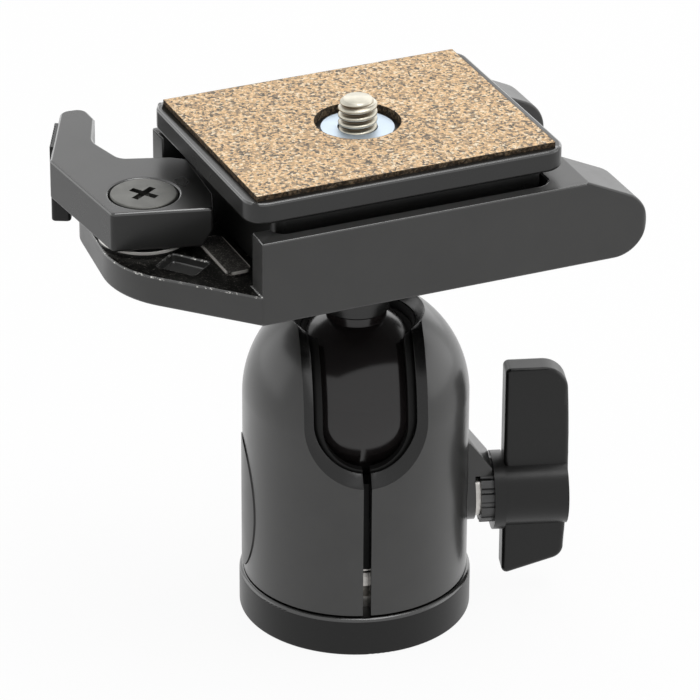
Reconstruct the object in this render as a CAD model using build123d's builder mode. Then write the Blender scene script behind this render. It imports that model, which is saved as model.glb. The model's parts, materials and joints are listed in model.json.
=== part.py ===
from build123d import *
import math
import os

# Tripod ball head with a lever-locked quick-release platform, in millimetres.
# +Z is up, the origin is the bottom centre of the base ring, the clamp knob
# points along +X and the drop notch of the barrel opens towards -Y.

os.makedirs("parts", exist_ok=True)

# ---- fits ---------------------------------------------------------------
fit = 0.05              # radial room between pieces that are assembled and stay
play = 0.1              # radial room between pieces that turn or slide
face_gap = 0.05         # room between flat faces that rub on each other
overcut = 1.0           # how far a cutting body runs past the surface it opens

# ---- base ring, pan bearing ----------------------------------------------
base_lip = 0.6          # how far the ring stands out past the barrel
base_height = 6.9
base_round = 0.8
base_foot_round = 0.4
socket_radius = 3.25    # clears a 1/4 inch tripod screw
bush_radius = 4.76      # 3/8 inch outside thread
bush_flange_radius = 6.8
bush_flange_height = 1.5
grip_inset = 1.2
grip_width = 3.8
grip_thickness = 0.8
base_screw_edge = 3.9   # from the drum's outside to the circle of screws
base_screw_radius = 1.5
base_screw_head_radius = 2.6
base_screw_head_height = 1.7
base_screw_inset = 0.3
base_screw_count = 3
base_screw_start = 90   # first screw's place round the ring, in degrees
base_screw_length = 10.4
spigot_radius = 8.0
spigot_depth = 1.4
bearing_thickness = 0.9
spindle_height = 5.2
spindle_bore_radius = 5.2
groove_depth = 2.2
groove_bottom = 1.0     # above the spindle's lower face
groove_height = 2.0
pan_joint = 0.3         # open line between base ring and barrel

# ---- barrel and what it holds ----------------------------------------------
ball_radius = 15.0
ball_lift = 5.0         # the ball's lowest point above the clamp axis
liner_thickness = 1.35
clamp_wall = 3.6        # wall of the lower, thicker part of the barrel
dome_wall = 2.3         # wall around the ball
wall_step_rise = 4.6    # above the clamp axis
mouth_radius = 9.7
mouth_flare = 1.5
notch_half_width = 8.4
notch_drop = 6.4        # below the ball's centre
notch_bevel = 2.0
slit_width = 1.3
liner_reveal = 1.4      # the liner shows this much beside the notch
liner_sill = 0.4
liner_lip = 0.5
seat_bore_radius = 9.0
seat_rim_drop = 9.4     # below the ball's centre
seat_spring_height = 0.8
seat_spring_width = 4.9
seat_spring_thickness = 0.3
pan_pin_radius = 1.0
pan_pin_angles = (50, 130)
pan_pin_inset = 0.15
badge_half_height = 12.0
badge_half_width = 7.0
badge_rise = 0.6        # above the clamp axis
badge_recess = 0.3
badge_thickness = 0.5

# ---- clamp knob ---------------------------------------------------------
clamp_rise = 6.4        # the clamp axis above the spindle
stud_radius = 3.0
stud_tail_inset = 1.6
stud_end_gap = 0.8
boss_radius = 4.8
boss_stand = 1.0
washer_radius = 4.2
washer_thickness = 0.8
collar_radius = 5.35
collar_width = 2.1
collar_teeth = 14
collar_tooth_radius = 0.55
hub_flange_radius = 6.65
hub_flange_width = 1.9
hub_radius = 6.1
wing_width = 10.9
wing_crown = 0.6
wing_thickness = 4.75
wing_up = 23.6
wing_down_inner = 15.4
wing_down_outer = 12.2
wing_round = 0.9
wing_corner = 4.2
wing_toe_round = 2.4
insert_radius = 4.1
insert_length = 10.0
nut_across_flats = 9.0
nut_head_thickness = 1.3
nut_cover = 2.4         # depth of the nut's seat under the barrel's surface
nut_sleeve_radius = 4.0
nut_sleeve_length = 3.4
lug_half_width = 3.5
lug_rise = 10.8         # top of the lug above the clamp axis
lug_nose_rise = 5.9
lug_nose_gap = 0.25
lug_clearance = 0.35

# ---- neck ---------------------------------------------------------------
neck_radius = 5.0
neck_clearance = 0.1
collar_rise = 0.7       # above the ball
neck_height = 12.5
stem_collar_radius = 5.5
stem_post_radius = 3.6
stem_rim = 0.35
platform_shelf = 2.3
platform_screw_radius = 2.5
platform_screw_length = 11.0
platform_screw_head_radius = 5.0
platform_screw_head_height = 2.0
platform_screw_socket = 2.0
platform_screw_socket_depth = 1.4
lock_washer_thickness = 0.5
lock_washer_split = 0.6

# ---- quick-release platform, in head coordinates u (long axis), v, height ---
head_turn = 17.5        # the platform's long axis is turned about the neck
floor_thickness = 5.1
rail_height = 9.3       # above the deck
platform_half_width = 23.4
rail_left = -26.3
rail_thickness = 2.3
post_thickness = 4.5
post_length = 3.3
nose_tip = 40.9
nose_fall = 10.6        # length of the sloping part
nose_slope = 25.0
nose_corner = 1.6
nose_wall = 3.3         # between the pocket and the gap in the nose
pocket_corner = 2.2
cutout_length = 12.9
cutout_front = -12.0
cutout_back = 15.0
cutout_corner = 2.5
deck_margin = 8.7       # deck past the lever's pivot
deck_margin_back = 5.8
deck_corner_front = 9.17
deck_front_corner = 16.0
deck_back_corner = 9.0
platform_edge_round = 0.5
well_offset = (2.05, -11.57)
well_length = 6.8
well_width = 5.2
well_turn = -50.8
well_depth = 1.5
pawl_reach = 2.3        # past the left end of the rails
pawl_width = 4.2
pawl_margin = 8.8       # from the platform's front face
pawl_length = 13.4
pawl_thickness = 0.7
pawl_corner = 1.3

# ---- lever --------------------------------------------------------------
pivot_offset = 9.1      # from the left end of the rails
pivot_v = 4.07
lever_height = 7.7      # above the deck
lever_gap = 0.9         # lever underside above the deck
lever_edge = 0.5
# corners of the lever in plan, from the pivot: along the head's long axis, and across it
jaw_front_place = (8.2, -9.32)
heel_place = (-7.45, -5.14)
elbow_place = (-9.5, 17.33)
tip_outer_place = (-1.2, 34.48)
tip_inner_place = (2.8, 34.13)
finger_inner_place = (2.9, 29.43)
finger_root_place = (-0.5, 21.53)
crook_place = (1.3, 13.83)
jaw_step_place = (9.15, 11.13)
jaw_tip_place = (11.34, 9.23)
jaw_middle_place = (10.2, -4.37)
heel_round = 1.0
tip_round = 1.9
root_round = 5.0
crook_round = 2.2
jaw_undercut = 3.3
jaw_lip = 1.4
pivot_head_radius = 5.45
pivot_head_height = 1.5
pivot_shank_radius = 2.5
pivot_thread_depth = 4.3
pivot_bush_radius = 4.0
pivot_washer_radius = 7.5
pivot_washer_thickness = 0.8
cross_length = 5.0
cross_width = 1.2
cross_turn = 33.0
cross_depth = 1.0
spring_wire = 0.3
spring_radius = 5.2
spring_turns = 3
spring_pitch = 0.75
spring_pocket_height = 3.0
pad_thickness = 0.6
pad_start = 6.4         # from the elbow along the finger
pad_length = 9.2
pad_grip = 7.2
pad_height = 5.6
pad_rib_count = 8
pad_rib_depth = 0.3
pad_strip_thickness = 1.2
pad_strip_width = 2.2
pad_block_start = 0.8
pad_block_drop = 4.6
pad_block_length = 5.0
pad_block_width = 3.2
pad_block_corner = 0.7

# ---- quick-release plate --------------------------------------------------
plate_half_length = 27.5
plate_half_width = 21.2
plate_corner = 3.6
plate_rise = 15.0       # above the deck
plate_rim_height = 3.7
plate_rim_round = 0.7
cork_border_end = 1.75
cork_border_side = 1.5
cork_proud = 0.8
cork_thickness = 1.5
cork_hole_radius = 7.0
foot_post_gap = 0.3
foot_end_gap = 0.8
foot_side_gap = 1.6
foot_corner = 2.0
foot_wall = 3.0
plate_boss_radius = 11.0
plate_rib = 2.0
screw_radius = 3.175    # 1/4 inch camera screw
screw_rise = 4.0        # screw tip above the cork
screw_tip_chamfer = 0.5
screw_relief = 0.5      # the captive neck is thinner than the thread
screw_head_radius = 8.0
screw_head_height = 3.0
screw_head_rise = 7.8   # above the deck
coin_slot_width = 1.6
coin_slot_depth = 1.4
disc_radius = 5.95
disc_thickness = 0.5
trip_offset = 1.8       # from the pocket's left end
trip_v = -8.0
trip_radius = 1.1
trip_rise = 1.5
trip_length = 3.0
trip_bore_depth = 4.5
trip_spring_wire = 0.2
trip_spring_turns = 4

# ---- planes -------------------------------------------------------------
turn = math.radians(head_turn)
head = Plane(origin=(0, 0, 0), x_dir=(math.cos(turn), math.sin(turn), 0), z_dir=(0, 0, 1))
head_side = Plane(
    origin=(0, 0, 0),
    x_dir=(math.cos(turn), math.sin(turn), 0),
    z_dir=(math.sin(turn), -math.cos(turn), 0),
)
across = Plane.YZ       # sketches on it are extruded along the knob's axis

# ---- places that follow from the sizes --------------------------------------
liner_inner = ball_radius + fit
liner_outer = liner_inner + liner_thickness
dome_bore = liner_outer + play
barrel_radius = dome_bore + dome_wall
clamp_bore = barrel_radius - clamp_wall
base_radius = barrel_radius + base_lip
grip_outer_radius = base_radius - grip_inset
grip_inner_radius = grip_outer_radius - grip_width
base_screw_circle = clamp_bore - base_screw_edge
groove_radius = clamp_bore - groove_depth
barrel_bottom = base_height + pan_joint
spindle_bottom = base_height + bearing_thickness
spindle_top = spindle_bottom + spindle_height
groove_low = spindle_bottom + groove_bottom
seat_bottom = spindle_top + seat_spring_height + 2 * face_gap
clamp_height = spindle_top + clamp_rise
ball_height = clamp_height + ball_lift + ball_radius
wall_step_height = clamp_height + wall_step_rise
notch_bottom = ball_height - notch_drop
liner_window_half_width = notch_half_width - liner_reveal
liner_window_bottom = notch_bottom + liner_sill
liner_lip_radius = mouth_radius - liner_lip
seat_rim_height = ball_height - seat_rim_drop
badge_height = clamp_height + badge_rise
boss_root = (barrel_radius + dome_bore) / 2
boss_end = barrel_radius + boss_stand
stud_tail = barrel_radius - stud_tail_inset
nut_seat = barrel_radius - nut_cover
nut_sleeve_end = nut_seat - nut_sleeve_length
collar_start = boss_end + washer_thickness + 2 * face_gap
flange_start = collar_start + collar_width
stud_head = flange_start + insert_length - stud_end_gap
wing_start = flange_start + hub_flange_width
wing_end = wing_start + wing_width
collar_bottom = ball_height + ball_radius + collar_rise
platform_bottom = collar_bottom + neck_height
deck_top = platform_bottom + floor_thickness
rail_top = deck_top + rail_height
shelf_top = platform_bottom + platform_shelf
nose_break = nose_tip - nose_fall
cutout_start = nose_tip - cutout_length
pocket_left = rail_left + post_length
pocket_right = cutout_start - nose_wall
pocket_half_width = platform_half_width - rail_thickness
passage_half_width = platform_half_width - post_thickness
pivot_u = rail_left - pivot_offset
deck_left = pivot_u - deck_margin
deck_left_back = pivot_u - deck_margin_back
deck_left_front = pivot_v - deck_corner_front
pawl_left = rail_left - pawl_reach
pawl_front = pawl_margin - platform_half_width
trip_u = pocket_left + trip_offset
lever_bottom = deck_top + lever_gap
lever_top = deck_top + lever_height
pivot_floor = lever_top - pivot_head_height
plate_top = deck_top + plate_rise
plate_rim_bottom = plate_top - plate_rim_height
cork_top = plate_top + cork_proud
cork_bottom = cork_top - cork_thickness
cork_half_length = plate_half_length - cork_border_end
cork_half_width = plate_half_width - cork_border_side
foot_bottom = deck_top + face_gap
foot_left = pocket_left + foot_post_gap
foot_right = pocket_right - foot_end_gap
foot_half_width = pocket_half_width - foot_side_gap
screw_head_top = deck_top + screw_head_rise
screw_tip = cork_top + screw_rise
screw_neck_radius = screw_radius + play
thread_start = cork_bottom + disc_thickness + face_gap
head_room = screw_head_radius + play + fit
pieces = {}


def sphere_height(radius, offset):
    """Height above the ball centre of a sphere at the given distance from its axis."""
    return math.sqrt(radius * radius - offset * offset)


# ---- base ---------------------------------------------------------------
with BuildPart() as base_disc:
    # aluminium foot ring with a rounded rim
    with BuildSketch():
        Circle(base_radius)
    extrude(amount=base_height)
    fillet(base_disc.edges().sort_by(Axis.Z)[-1], base_round)
    fillet(base_disc.edges().sort_by(Axis.Z)[0], base_foot_round)
    # stepped middle hole: bush from below, its flange, then the spindle's spigot
    with BuildSketch():
        Circle(bush_radius + fit)
    extrude(amount=base_height, mode=Mode.SUBTRACT)
    with BuildSketch(Plane.XY.offset(base_height)):
        Circle(spigot_radius + fit)
    extrude(amount=-spigot_depth, mode=Mode.SUBTRACT)
    with BuildSketch(Plane.XY.offset(base_height - spigot_depth)):
        Circle(bush_flange_radius + fit)
    extrude(amount=-bush_flange_height, mode=Mode.SUBTRACT)
    # seat of the grip ring
    with BuildSketch():
        Circle(grip_outer_radius + fit)
        Circle(grip_inner_radius - fit, mode=Mode.SUBTRACT)
    extrude(amount=grip_thickness, mode=Mode.SUBTRACT)
    # countersunk holes for the spindle screws
    with BuildSketch():
        with PolarLocations(base_screw_circle, base_screw_count, start_angle=base_screw_start):
            Circle(base_screw_radius + fit)
    extrude(amount=base_height, mode=Mode.SUBTRACT)
    with BuildSketch():
        with PolarLocations(base_screw_circle, base_screw_count, start_angle=base_screw_start):
            Circle(base_screw_head_radius + fit)
    extrude(amount=base_screw_inset + base_screw_head_height, mode=Mode.SUBTRACT)
pieces["base_disc"] = base_disc

with BuildPart() as grip_ring:
    with BuildSketch():
        Circle(grip_outer_radius)
        Circle(grip_inner_radius, mode=Mode.SUBTRACT)
    extrude(amount=grip_thickness)
pieces["grip_ring"] = grip_ring

with BuildPart() as thread_bush:
    with BuildSketch():
        Circle(bush_radius)
    extrude(amount=base_height - spigot_depth)
    with BuildSketch(Plane.XY.offset(base_height - spigot_depth)):
        Circle(bush_flange_radius)
    extrude(amount=-bush_flange_height)
    with BuildSketch():
        Circle(socket_radius)
    extrude(amount=base_height, mode=Mode.SUBTRACT)
pieces["thread_bush"] = thread_bush

with BuildPart() as base_screws:
    # countersunk screws from below, through the ring into the spindle
    with BuildSketch(Plane.XY.offset(base_screw_inset)):
        with PolarLocations(base_screw_circle, base_screw_count, start_angle=base_screw_start):
            Circle(base_screw_head_radius)
    extrude(amount=base_screw_head_height)
    with BuildSketch(Plane.XY.offset(base_screw_inset)):
        with PolarLocations(base_screw_circle, base_screw_count, start_angle=base_screw_start):
            Circle(base_screw_radius)
    extrude(amount=base_screw_length)
    with BuildSketch(Plane.XY.offset(base_screw_inset)):
        with PolarLocations(base_screw_circle, base_screw_count, start_angle=base_screw_start):
            RegularPolygon(base_screw_radius, 6)
    extrude(amount=base_screw_head_height / 2, mode=Mode.SUBTRACT)
pieces["base_screws"] = base_screws

with BuildPart() as pan_bearing:
    # bright thrust ring that the barrel turns round
    with BuildSketch(Plane.XY.offset(base_height)):
        Circle(clamp_bore - play)
        Circle(spigot_radius + fit, mode=Mode.SUBTRACT)
        with PolarLocations(base_screw_circle, base_screw_count, start_angle=base_screw_start):
            Circle(base_screw_radius + fit, mode=Mode.SUBTRACT)
    extrude(amount=bearing_thickness)
pieces["pan_bearing"] = pan_bearing

with BuildPart() as pan_spindle:
    # grooved drum inside the barrel, with a spigot that centres it in the ring
    with BuildSketch(Plane.XY.offset(spindle_bottom)):
        Circle(clamp_bore - play)
    extrude(amount=spindle_height)
    chamfer(pan_spindle.edges().sort_by(Axis.Z)[-1], groove_bottom / 2)
    with BuildSketch(Plane.XY.offset(groove_low)):
        Circle(clamp_bore)
        Circle(groove_radius, mode=Mode.SUBTRACT)
    extrude(amount=groove_height, mode=Mode.SUBTRACT)
    with BuildSketch(Plane.XY.offset(base_height - spigot_depth)):
        Circle(spigot_radius)
    extrude(amount=spigot_depth + bearing_thickness)
    with BuildSketch(Plane.XY.offset(base_height - spigot_depth)):
        Circle(spindle_bore_radius)
    extrude(amount=spindle_top, mode=Mode.SUBTRACT)
    with BuildSketch(Plane.XY.offset(spindle_bottom)):
        with PolarLocations(base_screw_circle, base_screw_count, start_angle=base_screw_start):
            Circle(base_screw_radius + fit)
    extrude(amount=base_screw_inset + base_screw_length + fit - spindle_bottom, mode=Mode.SUBTRACT)
pieces["pan_spindle"] = pan_spindle

# ---- barrel -------------------------------------------------------------
mouth_top = ball_height + sphere_height(barrel_radius, mouth_radius + mouth_flare)
mouth_inside = ball_height + sphere_height(dome_bore, mouth_radius)
badge_band_bottom = badge_height - badge_half_height - overcut
badge_band_height = 2 * (badge_half_height + overcut)
outer_sweep = math.degrees(math.asin((mouth_top - ball_height) / barrel_radius))
inner_sweep = math.degrees(math.asin((mouth_inside - ball_height) / dome_bore))


def on_notch_rim(edge):
    """True for the notch's edges on the barrel's outer surface."""
    for share in (0.1, 0.4, 0.6, 0.9):
        point = edge @ share
        height = max(point.Z - ball_height, 0)
        distance = math.sqrt(point.X ** 2 + point.Y ** 2 + height ** 2)
        if abs(distance - barrel_radius) > fit:
            return False
        if point.Y > -fit or point.Z < notch_bottom - fit:
            return False
    return abs((edge @ 0.5).Z - ball_height) > fit


with BuildPart() as barrel:
    # shell of revolution: straight barrel with a domed top
    with BuildSketch(Plane.XZ):
        with BuildLine():
            Polyline(
                (clamp_bore, barrel_bottom),
                (barrel_radius, barrel_bottom),
                (barrel_radius, ball_height),
            )
            CenterArc((0, ball_height), barrel_radius, 0, outer_sweep)
            Line((mouth_radius + mouth_flare, mouth_top), (mouth_radius, mouth_inside))
            CenterArc((0, ball_height), dome_bore, 0, inner_sweep)
            Polyline(
                (dome_bore, ball_height),
                (dome_bore, wall_step_height),
                (clamp_bore, wall_step_height),
                (clamp_bore, barrel_bottom),
            )
        make_face()
    revolve(axis=Axis.Z)
    # drop notch, open towards -Y, with a bevelled rim
    with BuildSketch(Plane.XZ):
        with Locations((0, notch_bottom + notch_half_width)):
            Circle(notch_half_width)
        with Locations((0, notch_bottom + notch_half_width + ball_height / 2)):
            Rectangle(2 * notch_half_width, ball_height)
    extrude(amount=barrel_radius + overcut, mode=Mode.SUBTRACT)
    chamfer(barrel.edges().filter_by(on_notch_rim), notch_bevel)
    # boss for the clamp stud, and the lug that shields its collar
    with BuildSketch(across.offset(boss_root)):
        with Locations((0, clamp_height)):
            Circle(boss_radius)
    extrude(amount=boss_end - boss_root)
    with BuildSketch(Plane.XZ):
        with BuildLine():
            Polyline(
                (boss_root, clamp_height),
                (boss_root, clamp_height + lug_rise),
                (barrel_radius, clamp_height + lug_rise),
                (flange_start - lug_nose_gap, clamp_height + lug_nose_rise),
                (flange_start - lug_nose_gap, clamp_height),
                close=True,
            )
        make_face()
    extrude(amount=lug_half_width, both=True)
    with BuildSketch(across.offset(boss_end)):
        with Locations((0, clamp_height)):
            Circle(collar_radius + lug_clearance)
    extrude(amount=collar_width + washer_thickness + overcut, mode=Mode.SUBTRACT)
    with BuildSketch(across.offset(boss_end)):
        with Locations((0, clamp_height - lug_rise / 2)):
            Rectangle(4 * lug_half_width, lug_rise)
    extrude(amount=collar_width + washer_thickness + overcut, mode=Mode.SUBTRACT)
    # stud hole on the knob's side
    with BuildSketch(across):
        with Locations((0, clamp_height)):
            Circle(stud_radius + play)
    extrude(amount=boss_end + overcut, mode=Mode.SUBTRACT)
    # nut seat on the far side
    with BuildSketch(across.offset(-nut_seat)):
        with Locations((0, clamp_height)):
            RegularPolygon(nut_across_flats / 2 + fit, 6, major_radius=False)
    extrude(amount=-(barrel_radius - nut_seat + overcut), mode=Mode.SUBTRACT)
    with BuildSketch(across):
        with Locations((0, clamp_height)):
            Circle(nut_sleeve_radius + fit)
    extrude(amount=-barrel_radius, mode=Mode.SUBTRACT)
    # slit that lets the barrel close on the liner and the spindle
    with BuildSketch(Plane.XZ):
        with Locations((0, barrel_bottom + (notch_bottom - barrel_bottom) / 2)):
            Rectangle(slit_width, notch_bottom - barrel_bottom + notch_half_width)
    extrude(amount=barrel_radius + overcut, mode=Mode.SUBTRACT)
    # shallow oval seat of the badge
    with BuildSketch(across.offset(-barrel_radius / 2)):
        with Locations((0, badge_height)):
            Ellipse(badge_half_width + fit, badge_half_height + fit)
    badge_field = extrude(amount=-barrel_radius, mode=Mode.PRIVATE)
    with BuildSketch(Plane.XY.offset(badge_band_bottom), mode=Mode.PRIVATE) as badge_band:
        Circle(barrel_radius + overcut)
        Circle(barrel_radius - badge_recess, mode=Mode.SUBTRACT)
    band = extrude(badge_band.sketch, amount=badge_band_height, mode=Mode.PRIVATE)
    add(badge_field & band, mode=Mode.SUBTRACT)
    # holes of the two pins that ride in the spindle's groove
    for angle in pan_pin_angles:
        pin_plane = Plane(
            origin=(0, 0, groove_low + groove_height / 2),
            z_dir=(math.cos(math.radians(angle)), math.sin(math.radians(angle)), 0),
        )
        with BuildSketch(pin_plane.offset(groove_radius)):
            Circle(pan_pin_radius + fit)
        extrude(amount=barrel_radius, mode=Mode.SUBTRACT)
pieces["barrel"] = barrel

with BuildPart() as pan_pins:
    for angle in pan_pin_angles:
        pin_plane = Plane(
            origin=(0, 0, groove_low + groove_height / 2),
            z_dir=(math.cos(math.radians(angle)), math.sin(math.radians(angle)), 0),
        )
        with BuildSketch(pin_plane.offset(groove_radius + 3 * play)):
            Circle(pan_pin_radius - fit)
        extrude(amount=barrel_radius - pan_pin_inset - groove_radius - 3 * play)
pieces["pan_pins"] = pan_pins

with BuildPart() as badge_plate:
    # bare oval plate, bent to the barrel
    with BuildSketch(across.offset(-barrel_radius / 2)):
        with Locations((0, badge_height)):
            Ellipse(badge_half_width, badge_half_height)
    extrude(amount=-barrel_radius)
    with BuildSketch(Plane.XY.offset(badge_band_bottom)):
        Circle(barrel_radius - badge_recess + badge_thickness)
        Circle(barrel_radius - badge_recess, mode=Mode.SUBTRACT)
    extrude(amount=badge_band_height, mode=Mode.INTERSECT)
pieces["badge_plate"] = badge_plate

liner_top = ball_height + sphere_height(liner_outer, mouth_radius - play)
liner_lip = ball_height + sphere_height(liner_inner, liner_lip_radius)
liner_outer_sweep = math.degrees(math.asin((liner_top - ball_height) / liner_outer))
liner_inner_sweep = math.degrees(math.asin((liner_lip - ball_height) / liner_inner))

with BuildPart() as ball_liner:
    # black plastic sleeve round the ball, split like the barrel
    with BuildSketch(Plane.XZ):
        with BuildLine():
            Polyline(
                (liner_inner, ball_height),
                (liner_inner, wall_step_height + play),
                (liner_outer, wall_step_height + play),
                (liner_outer, ball_height),
            )
            CenterArc((0, ball_height), liner_outer, 0, liner_outer_sweep)
            Line((mouth_radius - play, liner_top), (liner_lip_radius, liner_lip))
            CenterArc((0, ball_height), liner_inner, 0, liner_inner_sweep)
        make_face()
    revolve(axis=Axis.Z)
    with BuildSketch(Plane.XZ):
        with Locations((0, liner_window_bottom + liner_window_half_width)):
            Circle(liner_window_half_width)
        with Locations((0, liner_window_bottom + liner_window_half_width + ball_height / 2)):
            Rectangle(2 * liner_window_half_width, ball_height)
        with Locations((0, liner_window_bottom)):
            Rectangle(slit_width, ball_height)
    extrude(amount=barrel_radius, mode=Mode.SUBTRACT)
pieces["ball_liner"] = ball_liner

seat_radius = clamp_bore - 2 * play
seat_spring_inner = seat_radius - play - seat_spring_width
seat_rim_radius = sphere_height(liner_inner, ball_height - seat_rim_height)
seat_bore_top = ball_height - sphere_height(liner_inner, seat_bore_radius)
seat_middle = (seat_rim_radius + seat_bore_radius) / 2

with BuildPart() as ball_seat:
    # cup under the ball; the clamp stud passes through its cross hole
    with BuildSketch(Plane.XZ):
        with BuildLine():
            Polyline(
                (seat_bore_radius, seat_bore_top),
                (seat_bore_radius, seat_bottom),
                (seat_radius, seat_bottom),
                (seat_radius, seat_rim_height),
                (seat_rim_radius, seat_rim_height),
            )
            ThreePointArc(
                (seat_rim_radius, seat_rim_height),
                (seat_middle, ball_height - sphere_height(liner_inner, seat_middle)),
                (seat_bore_radius, seat_bore_top),
            )
        make_face()
    revolve(axis=Axis.Z)
    with BuildSketch(across):
        with Locations((0, clamp_height)):
            Circle(stud_radius + 4 * play)
    extrude(amount=seat_radius + overcut, mode=Mode.SUBTRACT)
    with BuildSketch(across):
        with Locations((0, clamp_height)):
            Circle(nut_sleeve_radius + 2 * play)
    extrude(amount=-seat_radius - overcut, mode=Mode.SUBTRACT)
pieces["ball_seat"] = ball_seat

with BuildPart() as seat_spring:
    # disc spring between the spindle and the cup
    with BuildSketch(Plane.XZ):
        with BuildLine():
            Polyline(
                (seat_spring_inner, spindle_top + face_gap),
                (seat_spring_inner, spindle_top + face_gap + seat_spring_thickness),
                (seat_radius - play, seat_bottom - face_gap),
                (seat_radius - play, seat_bottom - face_gap - seat_spring_thickness),
                close=True,
            )
        make_face()
    revolve(axis=Axis.Z)
pieces["seat_spring"] = seat_spring

with BuildPart() as clamp_nut:
    # hexagonal nut with a sleeve, hidden behind the badge
    with BuildSketch(across.offset(-nut_seat)):
        with Locations((0, clamp_height)):
            RegularPolygon(nut_across_flats / 2, 6, major_radius=False)
    extrude(amount=-nut_head_thickness)
    with BuildSketch(across.offset(-nut_sleeve_end)):
        with Locations((0, clamp_height)):
            Circle(nut_sleeve_radius)
    extrude(amount=-(nut_seat - nut_sleeve_end))
    with BuildSketch(across):
        with Locations((0, clamp_height)):
            Circle(stud_radius + fit)
    extrude(amount=-barrel_radius, mode=Mode.SUBTRACT)
pieces["clamp_nut"] = clamp_nut

# ---- clamp knob ---------------------------------------------------------
with BuildPart() as thrust_washer:
    with BuildSketch(across.offset(boss_end + face_gap)):
        with Locations((0, clamp_height)):
            Circle(washer_radius)
            Circle(stud_radius + play, mode=Mode.SUBTRACT)
    extrude(amount=washer_thickness)
pieces["thrust_washer"] = thrust_washer

with BuildPart() as clamp_stud:
    with BuildSketch(across.offset(-stud_tail)):
        with Locations((0, clamp_height)):
            Circle(stud_radius)
    extrude(amount=stud_tail + stud_head)
    chamfer(clamp_stud.edges().sort_by(Axis.X)[0], stud_radius / 5)
pieces["clamp_stud"] = clamp_stud

with BuildPart() as knob_collar:
    # serrated collar on the stud
    with BuildSketch(across.offset(collar_start)):
        with Locations((0, clamp_height)):
            Circle(collar_radius)
            Circle(stud_radius + fit, mode=Mode.SUBTRACT)
        for index in range(collar_teeth):
            angle = 2 * math.pi * index / collar_teeth
            with Locations((
                collar_radius * math.cos(angle),
                clamp_height + collar_radius * math.sin(angle),
            )):
                Circle(collar_tooth_radius, mode=Mode.SUBTRACT)
    extrude(amount=collar_width)
pieces["knob_collar"] = knob_collar

with BuildPart() as knob_wing:
    # blade, seen from the side
    with BuildSketch(Plane.XZ):
        with BuildLine():
            top = clamp_height + wing_up
            bottom_outer = clamp_height - wing_down_outer
            edge_top = (wing_end - wing_crown, top)
            edge_bottom = (wing_end - wing_crown, bottom_outer)
            ThreePointArc(edge_bottom, (wing_end, (top + bottom_outer) / 2), edge_top)
            Polyline(
                edge_top,
                (wing_start, top),
                (wing_start, clamp_height - wing_down_inner),
                edge_bottom,
            )
        make_face()
        fillet(vertices().sort_by(Axis.X)[-2:].sort_by(Axis.Y)[0], wing_toe_round)
        fillet(vertices().sort_by(Axis.Y)[-2:].sort_by(Axis.X)[-1], wing_corner)
    extrude(amount=wing_thickness / 2, both=True)
    fillet(knob_wing.edges(), wing_round)
    # hub and its flange
    with BuildSketch(across.offset(flange_start)):
        with Locations((0, clamp_height)):
            Circle(hub_flange_radius)
    extrude(amount=hub_flange_width)
    with BuildSketch(across.offset(wing_start)):
        with Locations((0, clamp_height)):
            Circle(hub_radius)
    extrude(amount=wing_width - wing_crown / 2)
    # blind seat of the threaded insert
    with BuildSketch(across.offset(flange_start)):
        with Locations((0, clamp_height)):
            Circle(insert_radius + fit)
    extrude(amount=insert_length + face_gap, mode=Mode.SUBTRACT)
pieces["knob_wing"] = knob_wing

with BuildPart() as knob_insert:
    with BuildSketch(across.offset(flange_start)):
        with Locations((0, clamp_height)):
            Circle(insert_radius)
            Circle(stud_radius + fit / 2, mode=Mode.SUBTRACT)
    extrude(amount=insert_length)
pieces["knob_insert"] = knob_insert

# ---- ball and neck ------------------------------------------------------
with BuildPart() as ball:
    with BuildSketch(Plane.XZ):
        with BuildLine():
            CenterArc((0, ball_height), ball_radius, -90, 180)
            Line((0, ball_height + ball_radius), (0, ball_height - ball_radius))
        make_face()
    revolve(axis=Axis.Z)
pieces["ball"] = ball

foot_sphere = ball_radius + neck_clearance
foot_middle = neck_radius / 2
post_top = shelf_top - face_gap

with BuildPart() as neck:
    # hollow foot on the ball, short neck and the post that carries the platform
    with BuildSketch(Plane.XZ):
        with BuildLine():
            ThreePointArc(
                (0, ball_height + foot_sphere),
                (foot_middle, ball_height + sphere_height(foot_sphere, foot_middle)),
                (neck_radius, ball_height + sphere_height(foot_sphere, neck_radius)),
            )
            Polyline(
                (neck_radius, ball_height + sphere_height(foot_sphere, neck_radius)),
                (neck_radius, collar_bottom),
                (stem_post_radius, collar_bottom),
                (stem_post_radius, post_top),
                (0, post_top),
                (0, ball_height + foot_sphere),
            )
        make_face()
    revolve(axis=Axis.Z)
    with BuildSketch(Plane.XY.offset(post_top)):
        Circle(platform_screw_radius + fit)
    extrude(amount=-platform_screw_length, mode=Mode.SUBTRACT)
pieces["neck"] = neck

with BuildPart() as neck_collar:
    with BuildSketch(Plane.XY.offset(collar_bottom)):
        Circle(stem_collar_radius)
        Circle(stem_post_radius + fit, mode=Mode.SUBTRACT)
    extrude(amount=platform_bottom - face_gap - collar_bottom)
    chamfer(neck_collar.edges().group_by(Axis.Z)[0].sort_by(SortBy.RADIUS)[-1], stem_rim)
pieces["neck_collar"] = neck_collar

with BuildPart() as lock_washer:
    with BuildSketch(Plane.XY.offset(shelf_top + face_gap)):
        Circle(platform_screw_head_radius)
        Circle(platform_screw_radius + play, mode=Mode.SUBTRACT)
        with Locations((stem_collar_radius, 0)):
            Rectangle(stem_collar_radius * 2 - platform_screw_radius, lock_washer_split, mode=Mode.SUBTRACT)
    extrude(amount=lock_washer_thickness)
pieces["lock_washer"] = lock_washer

head_seat = shelf_top + 2 * face_gap + lock_washer_thickness

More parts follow.
